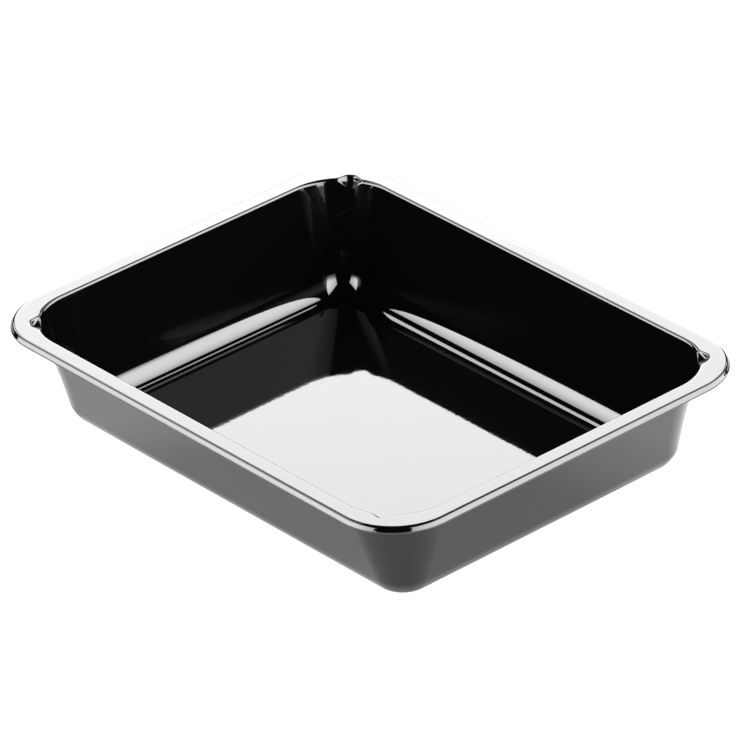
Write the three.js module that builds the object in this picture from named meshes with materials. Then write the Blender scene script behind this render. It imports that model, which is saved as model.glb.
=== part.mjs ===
// A black plastic meal tray, thermoformed in one piece from a sheet: a flat rim with a lip turned
// down at its edge, sloping walls, a rounded foot to the walls, a flat floor and a small denesting
// pocket at the top of each corner. Millimetres, X along the tray, Y across it, Z up. The origin is on the underside,
// below the middle of the floor.

import * as THREE from 'three';

// The rim, measured to the outer edge of its flat top face.
const rimLength = 223.8;
const rimWidth = 172.04;
const rimCornerRadius = 23.65;

// The hollow. The wall leans outwards, and its line meets the rim's top face at wallInset. On the
// short sides the rim is wider by endShift.
const hollowDepth = 42.6;
const wallInset = 6.125;
const wallDraft = 16.31;
const wallLean = 90 - wallDraft;
const rimRounding = 1.2;
const endShift = 0.23;

// The sheet is thinner where it was stretched most, in the floor.
const wallThickness = 0.5;
const floorThickness = 0.4;

// The way up from the floor to the wall: a soft crease, a shallow apron and the wall's foot.
const footBends = [
  { radius: 1, from: 0, to: 8, steps: 1 },
  { radius: 18, from: 8, to: 18, steps: 2 },
  { radius: 10.7, from: 18, to: wallLean, steps: 5 },
];

// The rim is cambered towards its edge. There the lip turns down, flares out and ends in a bead.
const lipReach = 1.745;
const camber = 3;
const camberRounding = 16;
const camberInset = 0.8;
const lipRounding = 1.3;
const skirtAngle = 58;
const skirtLength = 0.6;
const flareAngle = 48;
const flareRounding = 0.6;
const beadAngle = 90;
const beadRounding = 0.6;
const cutDrop = 0.3;

// A denesting pocket: a small shelf below the rim, pushed out of the wall. Its middle is turned
// off the middle of the corner, towards the long side.
const pocketInset = 3.5;
const pocketShelfDepth = 2.1;
const pocketEdgeDepth = 2.75;
const pocketBackDraft = 10;
const pocketRounding = 0.9;
const pocketFootRounding = 1;
const pocketTurn = 53;
const pocketHalfAngle = 12.5;
const pocketBlendAngle = 10.5;

// The corner radius of the hollow narrows from the rim to the floor. Halfway down the wall it is
// wider than an even narrowing would make it, by cornerFullness.
const hollowCornerRadius = 23.6;
const wallFootCornerRadius = 12;
const floorCornerRadius = 4.2;
const cornerFullness = 1.4;

// How finely the round stretches are divided.
const pocketSteps = 2;
const lipSteps = 4;
const beadSteps = 2;
const cornerSteps = 4;

const plasticColour = 0x0d0e10;
const plasticRoughness = 0.25;

const radians = THREE.MathUtils.degToRad;
const rimHalfLength = rimLength / 2;
const rimHalfWidth = rimWidth / 2;
const wallRun = Math.tan(radians(wallDraft));
const onWall = (depth) => wallInset + wallRun * depth;
const upTheWall = (rise) => rise / Math.sin(radians(wallLean));

// How far the foot's bends lead inwards and up, and where the wall's two roundings end.
const total = (values) => values.reduce((sum, value) => sum + value, 0);
const footRun = total(footBends.map(({ radius, from, to }) =>
  radius * (Math.sin(radians(to)) - Math.sin(radians(from)))));
const footRise = total(footBends.map(({ radius, from, to }) =>
  radius * (Math.cos(radians(from)) - Math.cos(radians(to)))));
const footDepth = hollowDepth - footRise;
const footInset = onWall(footDepth);
const floorInset = footInset + footRun;
const flatInset = wallInset - rimRounding * Math.tan(radians(wallLean) / 2);
const hollowInset = flatInset + rimRounding * Math.sin(radians(wallLean));
const hollowTopDepth = rimRounding * (1 - Math.cos(radians(wallLean)));

// The way at a heading, in inset and depth. A heading of 0 leads outwards, and 90 leads up.
const wayAt = (heading) =>
  new THREE.Vector2(-Math.cos(radians(heading)), -Math.sin(radians(heading)));

// Draws the section from the floor's edge outwards. It keeps every point together with the way out
// of the plastic there, which is to the left of the way that it draws.
class SectionPen {
  constructor(inset, depth) {
    this.heading = 0;
    this.tip = new THREE.Vector2(inset, depth);
    this.points = [];
    this.keepPoint();
  }

  keepPoint() {
    this.points.push({ place: this.tip.clone(), out: wayAt(this.heading + 90) });
  }

  straight(length) {
    this.tip.addScaledVector(wayAt(this.heading), length);
    this.keepPoint();
  }

  // Turns left by turn degrees, or right where turn is negative.
  bend(radius, turn, steps) {
    const towards = Math.sign(turn) * radius;
    const middle = this.tip.clone().addScaledVector(wayAt(this.heading + 90), towards);
    for (let step = 0; step < steps; step += 1) {
      this.heading += turn / steps;
      this.tip = middle.clone().addScaledVector(wayAt(this.heading + 90), -towards);
      this.keepPoint();
    }
  }
}

// The stretch from the wall below the pockets up to the flat rim, without and with a pocket. Both
// have the same number of points, so that one can turn into the other around a corner.
const stretchDepth = 4.2;
const stretchEndInset = 1.2;

function drawPlainStretch(pen) {
  pen.straight(upTheWall(stretchDepth - hollowTopDepth));
  pen.bend(rimRounding, -wallLean, 3 * (pocketSteps + 1) - 1);
  pen.straight(flatInset - stretchEndInset);
}

const cutBy = (radius, turn) => radius * Math.tan(radians(Math.abs(turn)) / 2);

function drawPocketStretch(pen) {
  const backRun = Math.tan(radians(pocketBackDraft));
  const edge = new THREE.Vector2(onWall(pocketEdgeDepth), pocketEdgeDepth);
  const shelfWay = edge.sub(
    new THREE.Vector2(pocketInset + backRun * pocketShelfDepth, pocketShelfDepth));
  const shelfLean = THREE.MathUtils.radToDeg(Math.atan2(shelfWay.y, shelfWay.x));
  const footTurn = 90 - pocketBackDraft - shelfLean;
  const topTurn = pocketBackDraft - 90;
  const edgeCut = cutBy(pocketRounding, shelfLean - wallLean);
  const footCut = cutBy(pocketFootRounding, footTurn);
  const topCut = cutBy(pocketRounding, topTurn);
  pen.straight(upTheWall(stretchDepth - pocketEdgeDepth) - edgeCut);
  pen.bend(pocketRounding, shelfLean - wallLean, pocketSteps);
  pen.straight(shelfWay.length() - edgeCut - footCut);
  pen.bend(pocketFootRounding, footTurn, pocketSteps);
  pen.straight(pocketShelfDepth / Math.cos(radians(pocketBackDraft)) - footCut - topCut);
  pen.bend(pocketRounding, topTurn, pocketSteps);
  pen.straight(pocketInset - topCut - stretchEndInset);
}

function drawLip(pen) {
  pen.straight(stretchEndInset - camberInset);
  pen.bend(camberRounding, -camber, 1);
  pen.bend(lipRounding, camber - skirtAngle, lipSteps);
  pen.straight(skirtLength);
  pen.bend(flareRounding, skirtAngle - flareAngle, 1);
  const beadReach =
    beadRounding * (Math.sin(radians(beadAngle)) - Math.sin(radians(flareAngle)));
  const leftToReach = lipReach + pen.tip.x - beadReach;
  pen.straight(leftToReach / Math.cos(radians(flareAngle)));
  pen.bend(beadRounding, flareAngle - beadAngle, beadSteps);
  pen.straight(cutDrop);
}

function drawnSection(drawStretch) {
  const pen = new SectionPen(floorInset, hollowDepth);
  footBends.forEach(({ radius, from, to, steps }) => pen.bend(radius, to - from, steps));
  pen.straight(upTheWall(footDepth - stretchDepth));
  drawStretch(pen);
  drawLip(pen);
  return pen.points;
}

// A value between known ones, by straight lines from one known place to the next.
function between(known, at) {
  const last = known.length - 1;
  if (at <= known[0][0]) return known[0][1];
  if (at >= known[last][0]) return known[last][1];
  const next = known.findIndex(([place]) => place > at);
  const [[fromPlace, fromValue], [toPlace, toValue]] = [known[next - 1], known[next]];
  return THREE.MathUtils.mapLinear(at, fromPlace, toPlace, fromValue, toValue);
}

const sheetThickness = (inset) =>
  between([[footInset, wallThickness], [floorInset, floorThickness]], inset);

function cornerRadius(inset) {
  if (inset < 0) return rimCornerRadius - inset;
  const downTheWall =
    THREE.MathUtils.clamp((inset - hollowInset) / (footInset - hollowInset), 0, 1);
  return 4 * cornerFullness * downTheWall * (1 - downTheWall) + between([
    [0, rimCornerRadius],
    [flatInset, hollowCornerRadius],
    [hollowInset, hollowCornerRadius],
    [footInset, wallFootCornerRadius],
    [floorInset, floorCornerRadius],
  ], inset);
}

const shiftAtEnd = (inset) => between([
  [0, 0],
  [flatInset, endShift],
  [hollowInset, endShift],
  [footInset, 0],
], inset);

// One closed line around the tray for each point of the section. It says where the centres of its
// corner arcs are, and how far from them, and how deep, it runs outside and inside a pocket.
function contour(plain, pocketed, under) {
  const radius = cornerRadius(plain.place.x);
  const setOff = ({ place, out }) =>
    place.clone().addScaledVector(out, under ? -sheetThickness(place.x) : 0);
  const plainPlace = setOff(plain);
  const pocketPlace = setOff(pocketed);
  return {
    centreX: rimHalfLength - plain.place.x - shiftAtEnd(plain.place.x) - radius,
    centreY: rimHalfWidth - plain.place.x - radius,
    radius: radius + plain.place.x - plainPlace.x,
    depth: plainPlace.y,
    pocketRadius: radius + plain.place.x - pocketPlace.x,
    pocketDepth: pocketPlace.y,
  };
}

const plainSection = drawnSection(drawPlainStretch);
const pocketSection = drawnSection(drawPocketStretch);
const topFace = plainSection.map((plain, index) => contour(plain, pocketSection[index], false));
const underFace = plainSection.map((plain, index) => contour(plain, pocketSection[index], true));
const contours = [...topFace, ...underFace.reverse()];

// The angles at which a corner is divided: close together where a pocket begins and ends.
const pocketStart = pocketTurn - pocketHalfAngle;
const pocketEnd = pocketTurn + pocketHalfAngle;
const cornerAngles = [
  ...Array.from({ length: cornerSteps }, (_, step) => pocketStart * step / cornerSteps),
  pocketStart,
  pocketStart + pocketBlendAngle / 2,
  pocketStart + pocketBlendAngle,
  pocketTurn,
  pocketEnd - pocketBlendAngle,
  pocketEnd - pocketBlendAngle / 2,
  pocketEnd,
  (pocketEnd + 90) / 2,
  90,
];
const quadrants = [[1, 1], [-1, 1], [-1, -1], [1, -1]];

function pocketShare(angle) {
  const offMiddle = Math.abs(angle - pocketTurn);
  return 1 - THREE.MathUtils.smoothstep(offMiddle, pocketHalfAngle - pocketBlendAngle, pocketHalfAngle);
}

// The points of one contour, anticlockwise seen from above.
function contourPoints(line) {
  const points = [];
  for (const [sideX, sideY] of quadrants) {
    const angles = sideX * sideY > 0 ? cornerAngles : cornerAngles.slice().reverse();
    for (const angle of angles) {
      const share = pocketShare(angle);
      const radius = THREE.MathUtils.lerp(line.radius, line.pocketRadius, share);
      const depth = THREE.MathUtils.lerp(line.depth, line.pocketDepth, share);
      points.push(
        sideX * (line.centreX + radius * Math.cos(radians(angle))),
        sideY * (line.centreY + radius * Math.sin(radians(angle))),
        hollowDepth + floorThickness - depth,
      );
    }
  }
  return points;
}

// The sheet: a skin from contour to contour, closed by the floor's top face and its underside.
function traySheet() {
  const around = quadrants.length * cornerAngles.length;
  const positions = contours.flatMap(contourPoints);
  const floorHub = contours.length * around;
  const undersideHub = floorHub + 1;
  positions.push(0, 0, floorThickness, 0, 0, 0);
  const faces = [];
  for (let at = 0; at < around; at += 1) {
    const next = (at + 1) % around;
    for (let line = 0; line < contours.length - 1; line += 1) {
      const here = line * around;
      const beyond = here + around;
      faces.push(here + at, beyond + at, beyond + next);
      faces.push(here + at, beyond + next, here + next);
    }
    const lastLine = (contours.length - 1) * around;
    faces.push(floorHub, at, next);
    faces.push(undersideHub, lastLine + next, lastLine + at);
  }
  const sheet = new THREE.BufferGeometry();
  sheet.setAttribute('position', new THREE.Float32BufferAttribute(positions, 3));
  sheet.setIndex(faces);
  sheet.computeVertexNormals();
  return sheet;
}

const blackPlastic = new THREE.MeshStandardMaterial({
  color: plasticColour, roughness: plasticRoughness, metalness: 0,
});

const mealTray = new THREE.Group();
const tray = new THREE.Mesh(traySheet(), blackPlastic);
tray.name = 'tray';
mealTray.add(tray);

export default mealTray;
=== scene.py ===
# %% [markdown]
# A black plastic meal tray, made the way such trays are formed: one warm sheet is drawn into a
# mould, and then the rim is trimmed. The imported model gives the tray's size and place. It is loaded
# first, so that everything made here is fitted to it.

# %% Load the frame
from math import atan2, cos, degrees, pi, radians, sin, tan

import bmesh
import bpy
from mathutils import Matrix, Vector


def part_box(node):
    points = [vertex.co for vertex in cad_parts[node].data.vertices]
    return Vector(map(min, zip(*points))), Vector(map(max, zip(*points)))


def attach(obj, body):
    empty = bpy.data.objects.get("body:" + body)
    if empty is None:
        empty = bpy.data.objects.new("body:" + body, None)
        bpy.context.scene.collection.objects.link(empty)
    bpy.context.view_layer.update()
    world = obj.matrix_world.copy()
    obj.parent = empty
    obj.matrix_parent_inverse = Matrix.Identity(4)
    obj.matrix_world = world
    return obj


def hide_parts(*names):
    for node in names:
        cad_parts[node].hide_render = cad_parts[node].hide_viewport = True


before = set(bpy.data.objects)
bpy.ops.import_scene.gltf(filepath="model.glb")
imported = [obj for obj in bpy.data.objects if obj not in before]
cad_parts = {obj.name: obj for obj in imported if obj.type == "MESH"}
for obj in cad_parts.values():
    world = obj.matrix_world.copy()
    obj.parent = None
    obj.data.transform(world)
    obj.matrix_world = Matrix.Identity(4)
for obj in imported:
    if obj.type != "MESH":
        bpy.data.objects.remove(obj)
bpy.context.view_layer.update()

tray_low, tray_high = (Vector(corner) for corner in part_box("tray"))
print("The tray is", [round(size, 4) for size in tray_high - tray_low], "metres")

# %% [markdown]
# All sizes below are metres, written as millimetres times MM. The section of the sheet is measured
# from the outer edge of the rim's flat top face: the inset runs inwards from that edge, and the
# depth runs down from the top face. The overall size comes from the frame, and the lip's reach
# leads from the lip's outermost line to the flat edge. The way from the floor to the wall is three
# bends in a row: a tight crease, a shallow apron and the wall's round foot. Each is given by its
# radius, its slope before and after in degrees, and the number of steps that draw it.

# %% Sizes of the section
MM = 0.001
LIP_REACH = 1.745 * MM
RIM_TOP = tray_high.z
HALF_LENGTH = tray_high.x - LIP_REACH
HALF_WIDTH = tray_high.y - LIP_REACH

HOLLOW_DEPTH = 42.6 * MM
WALL_INSET = 6.125 * MM
WALL_DRAFT = 16.31
RIM_ROUNDING = 1.2 * MM
WALL_THICKNESS = 0.5 * MM
FLOOR_THICKNESS = RIM_TOP - HOLLOW_DEPTH

WALL_LEAN = 90 - WALL_DRAFT
FOOT_BENDS = (
    (1.0 * MM, 0, 8, 3),
    (18.0 * MM, 8, 18, 8),
    (10.7 * MM, 18, WALL_LEAN, 22),
)
foot_run = sum(radius * (sin(radians(after)) - sin(radians(before)))
               for radius, before, after, steps in FOOT_BENDS)
foot_rise = sum(radius * (cos(radians(before)) - cos(radians(after)))
                for radius, before, after, steps in FOOT_BENDS)
wall_run = tan(radians(WALL_DRAFT))
foot_depth = HOLLOW_DEPTH - foot_rise
foot_inset = WALL_INSET + wall_run * foot_depth
floor_inset = foot_inset + foot_run
flat_inset = WALL_INSET - RIM_ROUNDING * tan(radians(WALL_LEAN / 2))
hollow_inset = flat_inset + RIM_ROUNDING * sin(radians(WALL_LEAN))
hollow_depth = RIM_ROUNDING * (1 - cos(radians(WALL_LEAN)))
print("The floor's edge is", round(floor_inset / MM, 2), "mm in from the rim's flat edge")

# %% [markdown]
# The section is one long line with round bends. It could be typed as a list of points, but then no
# bend could be changed without working out all the others. A pen is used here instead, which knows
# where it is and which way it heads. A straight is an extruded vertex, and a bend is a vertex spun
# round the bend's centre, so every bend is a true arc.

# %% A pen that draws with vertices
class SectionPen:
    """Draws in the XZ plane of a bmesh. Outwards is +X, and a heading of 90 is up."""

    def __init__(self, mesh, inset, depth, heading):
        self.mesh = mesh
        self.heading = heading
        self.tip = mesh.verts.new((-inset, 0, -depth))

    def along(self, turned=0):
        angle = radians(self.heading + turned)
        return Vector((cos(angle), 0, sin(angle)))

    def straight(self, length, pieces=1):
        for _ in range(pieces):
            self.tip = bmesh.ops.extrude_vert_indiv(self.mesh, verts=[self.tip])["verts"][0]
            bmesh.ops.translate(self.mesh, verts=[self.tip], vec=self.along() * length / pieces)

    def bend(self, radius, turn, steps):
        """Turns left by turn degrees, or right where turn is negative."""
        towards = self.along(90 if turn > 0 else -90)
        spun = bmesh.ops.spin(
            self.mesh, geom=[self.tip], cent=self.tip.co + towards * radius, axis=(0, 1, 0),
            angle=-radians(turn), steps=steps, use_merge=False, use_duplicate=False)
        self.tip = next(item for item in spun["geom_last"] if isinstance(item, bmesh.types.BMVert))
        self.heading += turn


# %% [markdown]
# The same pen draws the section twice: as it is along the sides, and as it is through a denesting
# pocket, the small shelf at the top of each corner that keeps stacked trays apart. Both drawings
# have the same number of points, so a corner can turn from one into the other point by point. The
# plain rounding therefore has as many steps as the pocket's three bends and the two straights
# between them. The rim's edge falls off slowly, turns down in a skirt, flares out and ends in a
# bead. A short seam next to a bend keeps its smooth shading off the flat stretch beside it.

# %% Draw the section, with and without a pocket
STRETCH_DEPTH = 4.2 * MM
STRETCH_END_INSET = 1.2 * MM
WALL_PIECES = 6
POCKET_STEPS = 5
PLAIN_ROUNDING_STEPS = 3 * POCKET_STEPS + 2

POCKET_INSET = 3.5 * MM
POCKET_SHELF_DEPTH = 2.1 * MM
POCKET_EDGE_DEPTH = 2.75 * MM
POCKET_BACK_DRAFT = 10
POCKET_ROUNDING = 0.9 * MM
POCKET_FOOT_ROUNDING = 1.0 * MM

CAMBER = 3
CAMBER_ROUNDING = 16 * MM
CAMBER_INSET = 0.8 * MM
LIP_ROUNDING = 1.3 * MM
SKIRT_ANGLE = 58
SKIRT_LENGTH = 0.6 * MM
FLARE_ANGLE = 48
FLARE_ROUNDING = 0.6 * MM
BEAD_ANGLE = 90
BEAD_ROUNDING = 0.6 * MM
CUT_DROP = 0.3 * MM
CAMBER_STEPS = 4
LIP_STEPS = 12
FLARE_STEPS = 3
BEAD_STEPS = 8
SEAM = 0.12 * MM


def tangent_length(radius, turn):
    return radius * tan(radians(abs(turn) / 2))


def draw_foot(pen):
    for radius, before, after, steps in FOOT_BENDS:
        pen.bend(radius, after - before, steps)
    pen.straight(SEAM)
    pen.straight((foot_depth - STRETCH_DEPTH) / sin(radians(WALL_LEAN)) - SEAM, WALL_PIECES)


def draw_plain_stretch(pen):
    pen.straight((STRETCH_DEPTH - hollow_depth) / sin(radians(WALL_LEAN)) - SEAM)
    pen.straight(SEAM)
    pen.bend(RIM_ROUNDING, -WALL_LEAN, PLAIN_ROUNDING_STEPS)
    pen.straight(SEAM)
    pen.straight(flat_inset - SEAM - STRETCH_END_INSET)


def draw_pocket_stretch(pen):
    edge = Vector((WALL_INSET + wall_run * POCKET_EDGE_DEPTH, POCKET_EDGE_DEPTH))
    back_run = tan(radians(POCKET_BACK_DRAFT))
    shelf = Vector((POCKET_INSET + back_run * POCKET_SHELF_DEPTH, POCKET_SHELF_DEPTH))
    shelf_way = edge - shelf
    shelf_lean = degrees(atan2(shelf_way.y, shelf_way.x))
    edge_turn = shelf_lean - WALL_LEAN
    foot_turn = 90 - POCKET_BACK_DRAFT - shelf_lean
    top_turn = POCKET_BACK_DRAFT - 90
    edge_cut = tangent_length(POCKET_ROUNDING, edge_turn)
    foot_cut = tangent_length(POCKET_FOOT_ROUNDING, foot_turn)
    top_cut = tangent_length(POCKET_ROUNDING, top_turn)
    pen.straight((STRETCH_DEPTH - POCKET_EDGE_DEPTH) / sin(radians(WALL_LEAN)) - edge_cut - SEAM)
    pen.straight(SEAM)
    pen.bend(POCKET_ROUNDING, edge_turn, POCKET_STEPS)
    pen.straight(shelf_way.length - edge_cut - foot_cut)
    pen.bend(POCKET_FOOT_ROUNDING, foot_turn, POCKET_STEPS)
    pen.straight(POCKET_SHELF_DEPTH / cos(radians(POCKET_BACK_DRAFT)) - foot_cut - top_cut)
    pen.bend(POCKET_ROUNDING, top_turn, POCKET_STEPS)
    pen.straight(SEAM)
    pen.straight(POCKET_INSET - top_cut - SEAM - STRETCH_END_INSET)


def draw_lip(pen):
    pen.straight(STRETCH_END_INSET - CAMBER_INSET)
    pen.bend(CAMBER_ROUNDING, -CAMBER, CAMBER_STEPS)
    pen.bend(LIP_ROUNDING, CAMBER - SKIRT_ANGLE, LIP_STEPS)
    pen.straight(SKIRT_LENGTH)
    pen.bend(FLARE_ROUNDING, SKIRT_ANGLE - FLARE_ANGLE, FLARE_STEPS)
    bead_reach = BEAD_ROUNDING * (sin(radians(BEAD_ANGLE)) - sin(radians(FLARE_ANGLE)))
    left_to_reach = LIP_REACH - pen.tip.co.x - bead_reach
    pen.straight(left_to_reach / cos(radians(FLARE_ANGLE)))
    pen.bend(BEAD_ROUNDING, FLARE_ANGLE - BEAD_ANGLE, BEAD_STEPS)
    pen.straight(CUT_DROP)


def drawn_section(draw_stretch):
    section = bmesh.new()
    pen = SectionPen(section, floor_inset, HOLLOW_DEPTH, 0)
    draw_foot(pen)
    draw_stretch(pen)
    draw_lip(pen)
    return section


sheet = drawn_section(draw_plain_stretch)
pocket_section = drawn_section(draw_pocket_stretch)
pocket_places = [vertex.co.copy() for vertex in pocket_section.verts]
pocket_section.free()
print("Points in the section:", len(sheet.verts), "and with a pocket:", len(pocket_places))

# %% [markdown]
# The corners are not round in the same way at every height. The rim's edge has one radius, the top
# of the hollow another, and from there the radius shrinks down to the floor, but stays a little
# larger halfway down the wall than even steps would make it. Each point of the section is therefore
# put at its own distance from the spin's axis, and after the spin it moves out to where the middle
# of its own arc belongs. The rim of the short sides is about a quarter of a millimetre wider than
# that of the long ones.

# %% Turn the section into one corner
RIM_CORNER = 23.65 * MM
HOLLOW_CORNER = 23.6 * MM
FOOT_CORNER = 12.0 * MM
FLOOR_CORNER = 4.2 * MM
CORNER_FULLNESS = 1.4 * MM
CORNER_STEPS = 90
POCKET_TURN = 53
POCKET_HALF_ANGLE = 12.5
POCKET_BLEND_ANGLE = 10.5
END_SHIFT = 0.23 * MM
CLOSE = 1e-7

CORNER_RADII = (
    (0, RIM_CORNER),
    (flat_inset, HOLLOW_CORNER),
    (hollow_inset, HOLLOW_CORNER),
    (foot_inset, FOOT_CORNER),
    (floor_inset, FLOOR_CORNER),
)
END_SHIFTS = ((0, 0), (flat_inset, END_SHIFT), (hollow_inset, END_SHIFT), (foot_inset, 0))


def between(known, inset):
    """The value at an inset, by straight lines between the known ones."""
    if inset <= known[0][0]:
        return known[0][1]
    for (near, near_value), (far, far_value) in zip(known, known[1:]):
        if inset <= far:
            return near_value + (far_value - near_value) * (inset - near) / (far - near)
    return known[-1][1]


def corner_radius(inset):
    if inset < 0:
        return RIM_CORNER - inset
    down_the_wall = min(max((inset - hollow_inset) / (foot_inset - hollow_inset), 0), 1)
    fullness = 4 * CORNER_FULLNESS * down_the_wall * (1 - down_the_wall)
    return between(CORNER_RADII, inset) + fullness


def pocket_share(angle):
    off_middle = abs(angle - POCKET_TURN)
    blend = min(max((POCKET_HALF_ANGLE - off_middle) / POCKET_BLEND_ANGLE, 0), 1)
    return blend * blend * (3 - 2 * blend)


inset_layer = sheet.verts.layers.float.new("inset")
pocket_reach_layer = sheet.verts.layers.float.new("pocket_reach")
pocket_lift_layer = sheet.verts.layers.float.new("pocket_lift")
for vertex, pocket_place in zip(sheet.verts, pocket_places):
    vertex[inset_layer] = -vertex.co.x
    vertex[pocket_reach_layer] = pocket_place.x - vertex.co.x
    vertex[pocket_lift_layer] = pocket_place.z - vertex.co.z
    vertex.co.x = corner_radius(vertex[inset_layer])
bmesh.ops.spin(
    sheet, geom=sheet.verts[:] + sheet.edges[:], cent=(0, 0, 0), axis=(0, 0, 1),
    angle=pi / 2, steps=CORNER_STEPS, use_merge=False, use_duplicate=False)

start_edges, end_edges = [], []
for edge in sheet.edges:
    if all(abs(vertex.co.y) < CLOSE for vertex in edge.verts):
        start_edges.append(edge)
    if all(abs(vertex.co.x) < CLOSE for vertex in edge.verts):
        end_edges.append(edge)
for vertex in sheet.verts:
    inset = vertex[inset_layer]
    radius = corner_radius(inset)
    turned = atan2(vertex.co.y, vertex.co.x)
    share = pocket_share(degrees(turned))
    reach = radius + share * vertex[pocket_reach_layer]
    vertex.co = Vector((
        HALF_LENGTH - inset - between(END_SHIFTS, inset) - radius + reach * cos(turned),
        HALF_WIDTH - inset - radius + reach * sin(turned),
        RIM_TOP + vertex.co.z + share * vertex[pocket_lift_layer]))
print("One corner has", len(sheet.faces), "faces")

# %% [markdown]
# Half of each side is the corner's open end, extruded to the middle of the tray. It goes there in
# equal pieces, which keeps the faces along the sides from being long slivers. Two mirrors make the
# other three quarters, and the open middle is filled as the floor. The floor's face gets two narrow
# insets: without them the smooth shading of the rounded foot would bleed across the flat floor.

# %% Run the sides to the middle, mirror twice and fill the floor
SIDE_PIECES = 10
FLOOR_INSETS = (0.4 * MM, 1.2 * MM)
MERGE_DISTANCE = MM / 100


def run_to_middle(edges, axis):
    """Extrudes the open edges in equal pieces until they lie on the plane through the middle."""
    for piece in range(SIDE_PIECES):
        grown = bmesh.ops.extrude_edge_only(sheet, edges=edges)["geom"]
        edges = [item for item in grown if isinstance(item, bmesh.types.BMEdge)
                 and item.is_boundary and all(v in grown for v in item.verts)]
        ends = [item for item in grown if isinstance(item, bmesh.types.BMVert)]
        left = SIDE_PIECES - piece
        factor = Vector((1, 1, 1))
        factor[axis] = (left - 1) / left
        bmesh.ops.scale(sheet, verts=ends, vec=factor)


run_to_middle(start_edges, 1)
run_to_middle(end_edges, 0)
for axis in "XY":
    bmesh.ops.mirror(sheet, geom=sheet.verts[:] + sheet.edges[:] + sheet.faces[:],
                     matrix=Matrix.Identity(4), merge_dist=MERGE_DISTANCE, axis=axis)
bmesh.ops.remove_doubles(sheet, verts=sheet.verts[:], dist=MERGE_DISTANCE)

floor_level = RIM_TOP - HOLLOW_DEPTH
floor_rim = [edge for edge in sheet.edges if edge.is_boundary
             and all(abs(vertex.co.z - floor_level) < MERGE_DISTANCE for vertex in edge.verts)]
floor_faces = bmesh.ops.edgeloop_fill(sheet, edges=floor_rim)["faces"]
for width in FLOOR_INSETS:
    bmesh.ops.inset_region(sheet, faces=floor_faces, thickness=width, use_even_offset=True)
bmesh.ops.recalc_face_normals(sheet, faces=sheet.faces[:])
sheet.normal_update()
if floor_faces[0].normal.z < 0:
    bmesh.ops.reverse_faces(sheet, faces=sheet.faces[:])
print("The sheet has", len(sheet.faces), "faces and the floor faces", floor_faces[0].normal[:])

# %% [markdown]
# What is drawn so far is the face that one sees from above. The Solidify modifier gives the sheet
# its thickness below that face, and it gives the underside and the cut edge their own finishes. It
# can follow a vertex group, and here the group makes the sheet thinner towards the floor, where it
# was stretched most. The lowest part of the lip gets the cut edge's finish too. A fine bevel then
# takes the sharpness off the cut edge.

# %% Make the object and give the sheet its thickness
floor_share = FLOOR_THICKNESS / WALL_THICKNESS
THICKNESS_SHARES = ((foot_inset, 1), (floor_inset, floor_share))
OUTSIDE_FINISH = 1
CUT_FINISH = 2
CUT_DEPTH = 1.5 * MM
EDGE_SOFTNESS = 0.12 * MM
EDGE_STEPS = 3
SHARP_ANGLE = 60

cut_level = RIM_TOP - CUT_DEPTH
for face in sheet.faces:
    face.smooth = True
    if all(vertex[inset_layer] < 0 and vertex.co.z < cut_level for vertex in face.verts):
        face.material_index = CUT_FINISH
shares = [between(THICKNESS_SHARES, vertex[inset_layer]) for vertex in sheet.verts]
tray_mesh = bpy.data.meshes.new("formed_tray")
sheet.to_mesh(tray_mesh)
sheet.free()
tray = bpy.data.objects.new("formed_tray", tray_mesh)
bpy.context.collection.objects.link(tray)

drawn_thin = tray.vertex_groups.new(name="drawn_thin")
for vertex, share in zip(tray_mesh.vertices, shares):
    on_floor = vertex.co.z < floor_level + MERGE_DISTANCE
    drawn_thin.add([vertex.index], floor_share if on_floor else share, "REPLACE")

body = tray.modifiers.new("sheet", "SOLIDIFY")
body.thickness = WALL_THICKNESS
body.offset = -1
body.vertex_group = "drawn_thin"
body.use_even_offset = True
body.use_quality_normals = True
body.material_offset = OUTSIDE_FINISH
body.material_offset_rim = CUT_FINISH
softening = tray.modifiers.new("cut_edge", "BEVEL")
softening.width = EDGE_SOFTNESS
softening.segments = EDGE_STEPS
softening.limit_method = "ANGLE"
softening.angle_limit = radians(SHARP_ANGLE)
print("The tray mesh has", len(tray_mesh.polygons), "faces before its thickness")

# %% [markdown]
# The finishes are written as formulas. A signal is one output of a node, and calculating with
# signals adds the Math nodes that do the same, so a pattern can be read like any other sum.

# %% A small language for finishes
class Signal:
    """An output socket that can be calculated with."""

    def __init__(self, finish, socket):
        self.finish = finish
        self.socket = socket

    def work_out(self, operation, first, second):
        return self.finish.node("ShaderNodeMath", {"operation": operation}, (first, second))

    def __add__(self, other):
        return self.work_out("ADD", self, other)

    def __radd__(self, other):
        return self.work_out("ADD", other, self)

    def __sub__(self, other):
        return self.work_out("SUBTRACT", self, other)

    def __rsub__(self, other):
        return self.work_out("SUBTRACT", other, self)

    def __mul__(self, other):
        return self.work_out("MULTIPLY", self, other)

    def __rmul__(self, other):
        return self.work_out("MULTIPLY", other, self)

    def __rtruediv__(self, other):
        return self.work_out("DIVIDE", other, self)

    def __abs__(self):
        return self.finish.node("ShaderNodeMath", {"operation": "ABSOLUTE"}, (self,))


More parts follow.
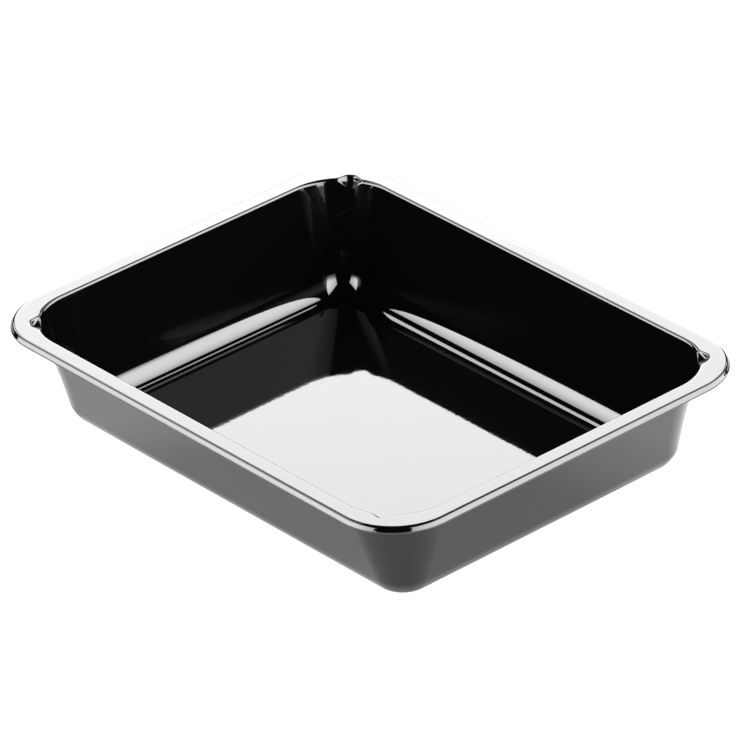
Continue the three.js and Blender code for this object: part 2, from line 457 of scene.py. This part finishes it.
class NodeWork:
    """A node tree whose nodes are made one by one."""

    def __init__(self, owner):
        owner.use_nodes = True
        self.tree = owner.node_tree
        self.tree.nodes.clear()

    def node(self, kind, settings=None, inputs=(), output=0):
        """Adds a node. Its settings come first, then the values or signals of its sockets, given
        in order or by name."""
        made = self.tree.nodes.new(kind)
        for name, value in (settings or {}).items():
            setattr(made, name, value)
        pairs = inputs.items() if isinstance(inputs, dict) else enumerate(inputs)
        for key, value in pairs:
            if isinstance(value, Signal):
                self.tree.links.new(value.socket, made.inputs[key])
            else:
                made.inputs[key].default_value = value
        return Signal(self, made.outputs[output])

    def end_at(self, kind, shader):
        output = self.tree.nodes.new(kind)
        self.tree.links.new(shader.socket, output.inputs["Surface"])


class Finish(NodeWork):
    """A material with the patterns that a plastic needs."""

    def __init__(self, name):
        self.material = bpy.data.materials.new(name)
        super().__init__(self.material)

    def place(self):
        """Where a point is on the piece itself."""
        return self.node("ShaderNodeTexCoord", output="Object")

    def place_along(self, axis):
        """How far along X, Y or Z that place is."""
        return self.node("ShaderNodeSeparateXYZ", {}, {"Vector": self.place()}, axis)

    def noise(self, size, detail=2.0, roughness=0.5):
        """Soft noise from 0 to 1, whose lumps are about size metres across."""
        return self.node("ShaderNodeTexNoise", {}, {
            "Vector": self.place(), "Scale": 1 / size, "Detail": detail, "Roughness": roughness})

    def surface(self, inputs):
        shader = self.node("ShaderNodeBsdfPrincipled", {}, inputs)
        self.end_at("ShaderNodeOutputMaterial", shader)
        return self.material

    def ramp(self, value, start, end):
        """Turns softly from 0 at start to 1 at end. Start may be the higher value of the two."""
        return self.node("ShaderNodeMapRange", {"interpolation_type": "SMOOTHSTEP"}, {
            "Value": value, "From Min": start, "From Max": end})

    def blend(self, share, inputs, other_inputs):
        """The first look where share is 0, and the other one where it is 1."""
        shaders = [self.node("ShaderNodeBsdfPrincipled", {}, look)
                   for look in (inputs, other_inputs)]
        blended = self.node("ShaderNodeMixShader", {}, (share, *shaders))
        self.end_at("ShaderNodeOutputMaterial", blended)
        return self.material

    def bump(self, height):
        """A relief whose height is in metres. The node wants it as a share of its distance."""
        return self.node("ShaderNodeBump", {}, {
            "Strength": 1.0, "Distance": MM, "Height": height * (1 / MM)})


# %% [markdown]
# The inside of the tray is the side that never touched the mould. It is black and as glossy as the
# rolled sheet was, with two kinds of unevenness: long soft waves from the drawing, and a fine
# orange peel. Neither is much higher than a hundredth of a millimetre, because a mirror shows far
# smaller waves than a matt surface does. Where the sheet was stretched most it lost its gloss: on
# the walls, somewhat less on the short ones, and in a narrow band along the floor's crease. The
# ends and starts below are heights above the floor, and for the rim depths below its top.

# %% The glossy inside
PLASTIC_IOR = 1.5
GLOSS_COLOUR = (0.0005, 0.0005, 0.0006, 1)
GLOSS_ROUGHNESS = 0.02
GLOSS_SPREAD = 0.015
GLOSS_PATCH_SIZE = 9 * MM
PEEL_SIZE = 1.3 * MM
PEEL_HEIGHT = 0.0035 * MM
WAVE_SIZE = 22 * MM
WAVE_HEIGHT = 0.012 * MM
WAVE_DETAIL = 1.0
DULL_LOOK = {"Specular IOR Level": 0.03, "Roughness": 0.15}
END_GLOSS = 0.1
FOOT_GLOSS_END = 5.3 * MM
WALL_DULL_START = 7.0 * MM
RIM_GLOSS_END = 1.2 * MM
RIM_DULL_START = 2.2 * MM
FLOOR_GLOSS_END = 0.01 * MM
CREASE_DULL_START = 0.04 * MM
CREASE_DULL_END = 0.2 * MM
APRON_GLOSS_START = 0.35 * MM


def glossy_black():
    finish = Finish("gloss_black_plastic")
    peel = finish.noise(PEEL_SIZE) * PEEL_HEIGHT
    waves = finish.noise(WAVE_SIZE, WAVE_DETAIL) * WAVE_HEIGHT
    look = {
        "Base Color": GLOSS_COLOUR,
        "Roughness": GLOSS_ROUGHNESS + GLOSS_SPREAD * finish.noise(GLOSS_PATCH_SIZE),
        "IOR": PLASTIC_IOR,
        "Normal": finish.bump(peel + waves),
    }
    level = finish.place_along("Z")
    above_foot = finish.ramp(level, floor_level + FOOT_GLOSS_END, floor_level + WALL_DULL_START)
    below_rim = finish.ramp(level, RIM_TOP - RIM_GLOSS_END, RIM_TOP - RIM_DULL_START)
    off_middle = abs(finish.place_along("X"))
    at_end = finish.ramp(off_middle, HALF_LENGTH - floor_inset, HALF_LENGTH - foot_inset)
    on_walls = above_foot * below_rim * (1 - END_GLOSS * at_end)
    off_floor = finish.ramp(level, floor_level + FLOOR_GLOSS_END, floor_level + CREASE_DULL_START)
    below_apron = finish.ramp(
        level, floor_level + APRON_GLOSS_START, floor_level + CREASE_DULL_END)
    return finish.blend(on_walls + off_floor * below_apron, look, look | DULL_LOOK)


inside_finish = glossy_black()
print("Made", inside_finish.name)

# %% [markdown]
# The outside lay against the mould and took its blasted surface. It is nearly as black, but satin,
# with a very fine grain. Round the foot it is duller, so the bright floor does not light it up. The
# two heights are above the underside: satin above the one, dull below the other.

# %% The satin outside
SATIN_COLOUR = (0.004, 0.004, 0.0046, 1)
SATIN_TINT = (0.93, 0.95, 1, 1)
SATIN_ROUGHNESS = 0.2
SATIN_SPREAD = 0.08
SATIN_PATCH_SIZE = 14 * MM
GRAIN_SIZE = 0.35 * MM
GRAIN_HEIGHT = 0.004 * MM
GRAIN_DETAIL = 3.0
SATIN_SPECULAR = 0.44
FOOT_SPECULAR = 0.06
SATIN_ABOVE = 6.5 * MM
DULL_BELOW = 3.0 * MM


def satin_black():
    finish = Finish("satin_black_plastic")
    look = {
        "Base Color": SATIN_COLOUR,
        "Roughness": SATIN_ROUGHNESS + SATIN_SPREAD * finish.noise(SATIN_PATCH_SIZE),
        "IOR": PLASTIC_IOR,
        "Specular IOR Level": SATIN_SPECULAR,
        "Specular Tint": SATIN_TINT,
        "Normal": finish.bump(finish.noise(GRAIN_SIZE, GRAIN_DETAIL) * GRAIN_HEIGHT),
    }
    at_foot = finish.ramp(finish.place_along("Z"), SATIN_ABOVE, DULL_BELOW)
    return finish.blend(at_foot, look, look | {"Specular IOR Level": FOOT_SPECULAR})


outside_finish = satin_black()
print("Made", outside_finish.name)

# %% [markdown]
# The rim's edge was cut by a steel rule. The cut is torn rather than smooth, so it is rougher and a
# little paler, with small notches that sparkle.

# %% The cut edge
TORN_COLOUR = (0.02, 0.02, 0.022, 1)
TORN_ROUGHNESS = 0.2
TORN_SPREAD = 0.25
TORN_PATCH_SIZE = 0.8 * MM
NOTCH_SIZE = 0.5 * MM
NOTCH_HEIGHT = 0.12 * MM
NOTCH_DETAIL = 3.0


def torn_edge():
    finish = Finish("cut_black_plastic")
    return finish.surface({
        "Base Color": TORN_COLOUR,
        "Roughness": TORN_ROUGHNESS + TORN_SPREAD * finish.noise(TORN_PATCH_SIZE),
        "IOR": PLASTIC_IOR,
        "Normal": finish.bump(finish.noise(NOTCH_SIZE, NOTCH_DETAIL) * NOTCH_HEIGHT),
    })


for finished in (inside_finish, outside_finish, torn_edge()):
    tray_mesh.materials.append(finished)
print("Finishes:", [material.name for material in tray_mesh.materials])

# %% [markdown]
# The tray rides on the frame's only body and stands for the frame's plain node.

# %% Put the tray on the frame
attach(tray, "root")
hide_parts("tray")

# %% [markdown]
# The photograph was taken with a long lens from a little over two and a half metres. The camera's
# place is given by its height angle, its turn round the tray and its distance, and by how far the
# tray sits off the middle of the picture. It was held a few degrees off level.

# %% The camera
ELEVATION = 30.03
AZIMUTH = 50.68
ROLL = -3.40
DISTANCE = 2648.92 * MM
ASIDE = -2.64 * MM
ABOVE = 13.29 * MM
FRAME_PIXELS = 752
FOCAL_PIXELS = 7327.04
SENSOR = 36.0
FARTHEST_SEEN = 20

back = Vector((
    sin(radians(AZIMUTH)) * cos(radians(ELEVATION)),
    -cos(radians(AZIMUTH)) * cos(radians(ELEVATION)),
    sin(radians(ELEVATION))))
right = Vector((cos(radians(AZIMUTH)), sin(radians(AZIMUTH)), 0))
up = back.cross(right)
camera_right = cos(radians(ROLL)) * right + sin(radians(ROLL)) * up
camera_up = cos(radians(ROLL)) * up - sin(radians(ROLL)) * right

camera_data = bpy.data.cameras.new("camera")
camera_data.lens = FOCAL_PIXELS / FRAME_PIXELS * SENSOR
camera_data.sensor_width = SENSOR
camera_data.clip_end = FARTHEST_SEEN
camera = bpy.data.objects.new("camera", camera_data)
camera_turn = Matrix((camera_right, camera_up, back)).transposed().to_4x4()
camera_place = back * DISTANCE - right * ASIDE - up * ABOVE + Vector((0, 0, RIM_TOP))
camera.matrix_world = Matrix.Translation(camera_place) @ camera_turn
bpy.context.collection.objects.link(camera)
bpy.context.scene.camera = camera
print("The camera stands at", [round(value, 3) for value in camera_place])

# %% [markdown]
# A glossy black object is lit by what it mirrors. The lights are upright panels, given by the
# directions in which they stand as seen from the tray: 0 is straight behind it, and minus is to the
# left. A panel's brightness is many times that of a white wall, because black plastic mirrors only
# a small part of what falls on it. The one straight behind is in two parts: the lower and brighter
# one is mirrored in the far rim, the upper one in the floor and the near rim. The two at the sides
# fade away from a hot spot, as softboxes do.

# %% The lights
PANEL_DISTANCE = 1.6


def light_panel(name, azimuths, elevations, brightness, hot_spot=None, fade=None):
    """An upright panel. It is evenly bright, or fades away from the direction of its hot spot and
    is half as bright at fade metres from it."""
    middle = sum(azimuths) / 2
    low, high = (PANEL_DISTANCE * tan(radians(angle)) for angle in elevations)
    width = 2 * PANEL_DISTANCE * tan(radians(azimuths[1] - middle))
    behind = Vector((-back.x, -back.y, 0)).normalized()
    away = behind * cos(radians(middle)) + right * sin(radians(middle))
    data = bpy.data.lights.new(name, "AREA")
    data.shape = "RECTANGLE"
    data.size = width
    data.size_y = high - low
    data.energy = brightness * pi * width * (high - low)
    if hot_spot:
        work = NodeWork(data)
        spot = work.node("ShaderNodeNewGeometry", output="Parametric")
        across = work.node("ShaderNodeSeparateXYZ", {}, {"Vector": spot}, "X")
        upwards = work.node("ShaderNodeSeparateXYZ", {}, {"Vector": spot}, "Y")
        hot_across = width / 2 + PANEL_DISTANCE * tan(radians(hot_spot[0] - middle))
        hot_upwards = PANEL_DISTANCE * tan(radians(hot_spot[1])) - low
        across = across * (width / fade) - hot_across / fade
        upwards = upwards * ((high - low) / fade) - hot_upwards / fade
        glow = work.node("ShaderNodeEmission", {}, {
            "Strength": 1 / (1 + across * across + upwards * upwards)})
        work.end_at("ShaderNodeOutputLight", glow)
    panel = bpy.data.objects.new(name, data)
    upright = Vector((0, 0, 1))
    facing = Matrix((upright.cross(away), upright, away)).transposed().to_4x4()
    stand = away * PANEL_DISTANCE + upright * ((low + high) / 2)
    panel.matrix_world = Matrix.Translation(stand) @ facing
    panel.visible_camera = False
    bpy.context.collection.objects.link(panel)
    print(name, "is", round(width, 2), "by", round(high - low, 2), "metres")


light_panel("light_behind", (-13, 18), (29.1, 36.6), 9.5)
light_panel("light_behind_low", (-13, 18), (13, 29.1), 10.8)
light_panel("light_behind_left", (-39.5, -25), (20, 60), 9.3)
light_panel("light_behind_right", (32, 39.5), (20, 62), 7.5)
light_panel("light_left", (-140, -61), (9, 54.5), 16.5, hot_spot=(-98, 28), fade=1.58)
light_panel("light_right", (56.3, 160), (9, 66), 16, hot_spot=(108, 37), fade=2.74)

# %% [markdown]
# The floor is a wide sheet that glows by itself, so nothing shades it, and it is bright enough to
# be white in the picture also next to the tray. Its glow carries painted light and shade: it glows
# a third less in a broad band before and behind the tray, a painted shade which is what the middle
# of the near walls mirrors, and it glows more on the right than on the left, painted light there.
# The floor lies a hair below the tray's underside, because two faces in one plane would show as
# stripes.

# %% The floor and the room
FLOOR_HALF = 4.0
FLOOR_GAP = 0.05 * MM
FLOOR_GLOW = 1.78
GLOW_IN_MIDDLE = 0.66
MIDDLE_HALF = 75 * MM
GLOWING_HALF = 110 * MM
LEFT_SHARE = 0.87
LEFT_FROM, LEFT_TO = -25 * MM, -5 * MM
RIGHT_EXTRA = 0.2
RIGHT_FROM, RIGHT_TO = 105 * MM, 125 * MM
ROOM_COLOUR = (0.01, 0.01, 0.0105, 1)


def glowing_white():
    finish = Finish("floor_glow_with_painted_shade")
    sideways = finish.node("ShaderNodeVectorMath", {"operation": "DOT_PRODUCT"},
                           (finish.place(), tuple(right)), "Value")
    # The glow's pattern is painted light and shade: less in the middle band and at the left, more at
    # the far right.
    at_sides = finish.ramp(abs(sideways), MIDDLE_HALF, GLOWING_HALF)
    off_left = finish.ramp(sideways, LEFT_FROM, LEFT_TO)
    far_right = finish.ramp(sideways, RIGHT_FROM, RIGHT_TO)
    lit = off_left * (1 - LEFT_SHARE) + LEFT_SHARE + far_right * RIGHT_EXTRA
    glow = (at_sides * (1 - GLOW_IN_MIDDLE) + GLOW_IN_MIDDLE) * lit
    return finish.surface({
        "Base Color": (0, 0, 0, 1),
        "Roughness": 1.0,
        "Specular IOR Level": 0.0,
        "Emission Color": glow,
        "Emission Strength": FLOOR_GLOW,
    })


floor_sheet = bmesh.new()
bmesh.ops.create_grid(floor_sheet, x_segments=1, y_segments=1, size=FLOOR_HALF,
                      matrix=Matrix.Translation((0, 0, tray_low.z - FLOOR_GAP)))
floor_mesh = bpy.data.meshes.new("floor")
floor_sheet.to_mesh(floor_mesh)
floor_sheet.free()
floor = bpy.data.objects.new("floor", floor_mesh)
bpy.context.collection.objects.link(floor)
floor_mesh.materials.append(glowing_white())

room = bpy.data.worlds.new("dark_room")
room.use_nodes = True
room.node_tree.nodes["Background"].inputs["Color"].default_value = ROOM_COLOUR
bpy.context.scene.world = room
bpy.context.scene.view_settings.view_transform = "Standard"
print("The floor is", 2 * FLOOR_HALF, "metres wide")
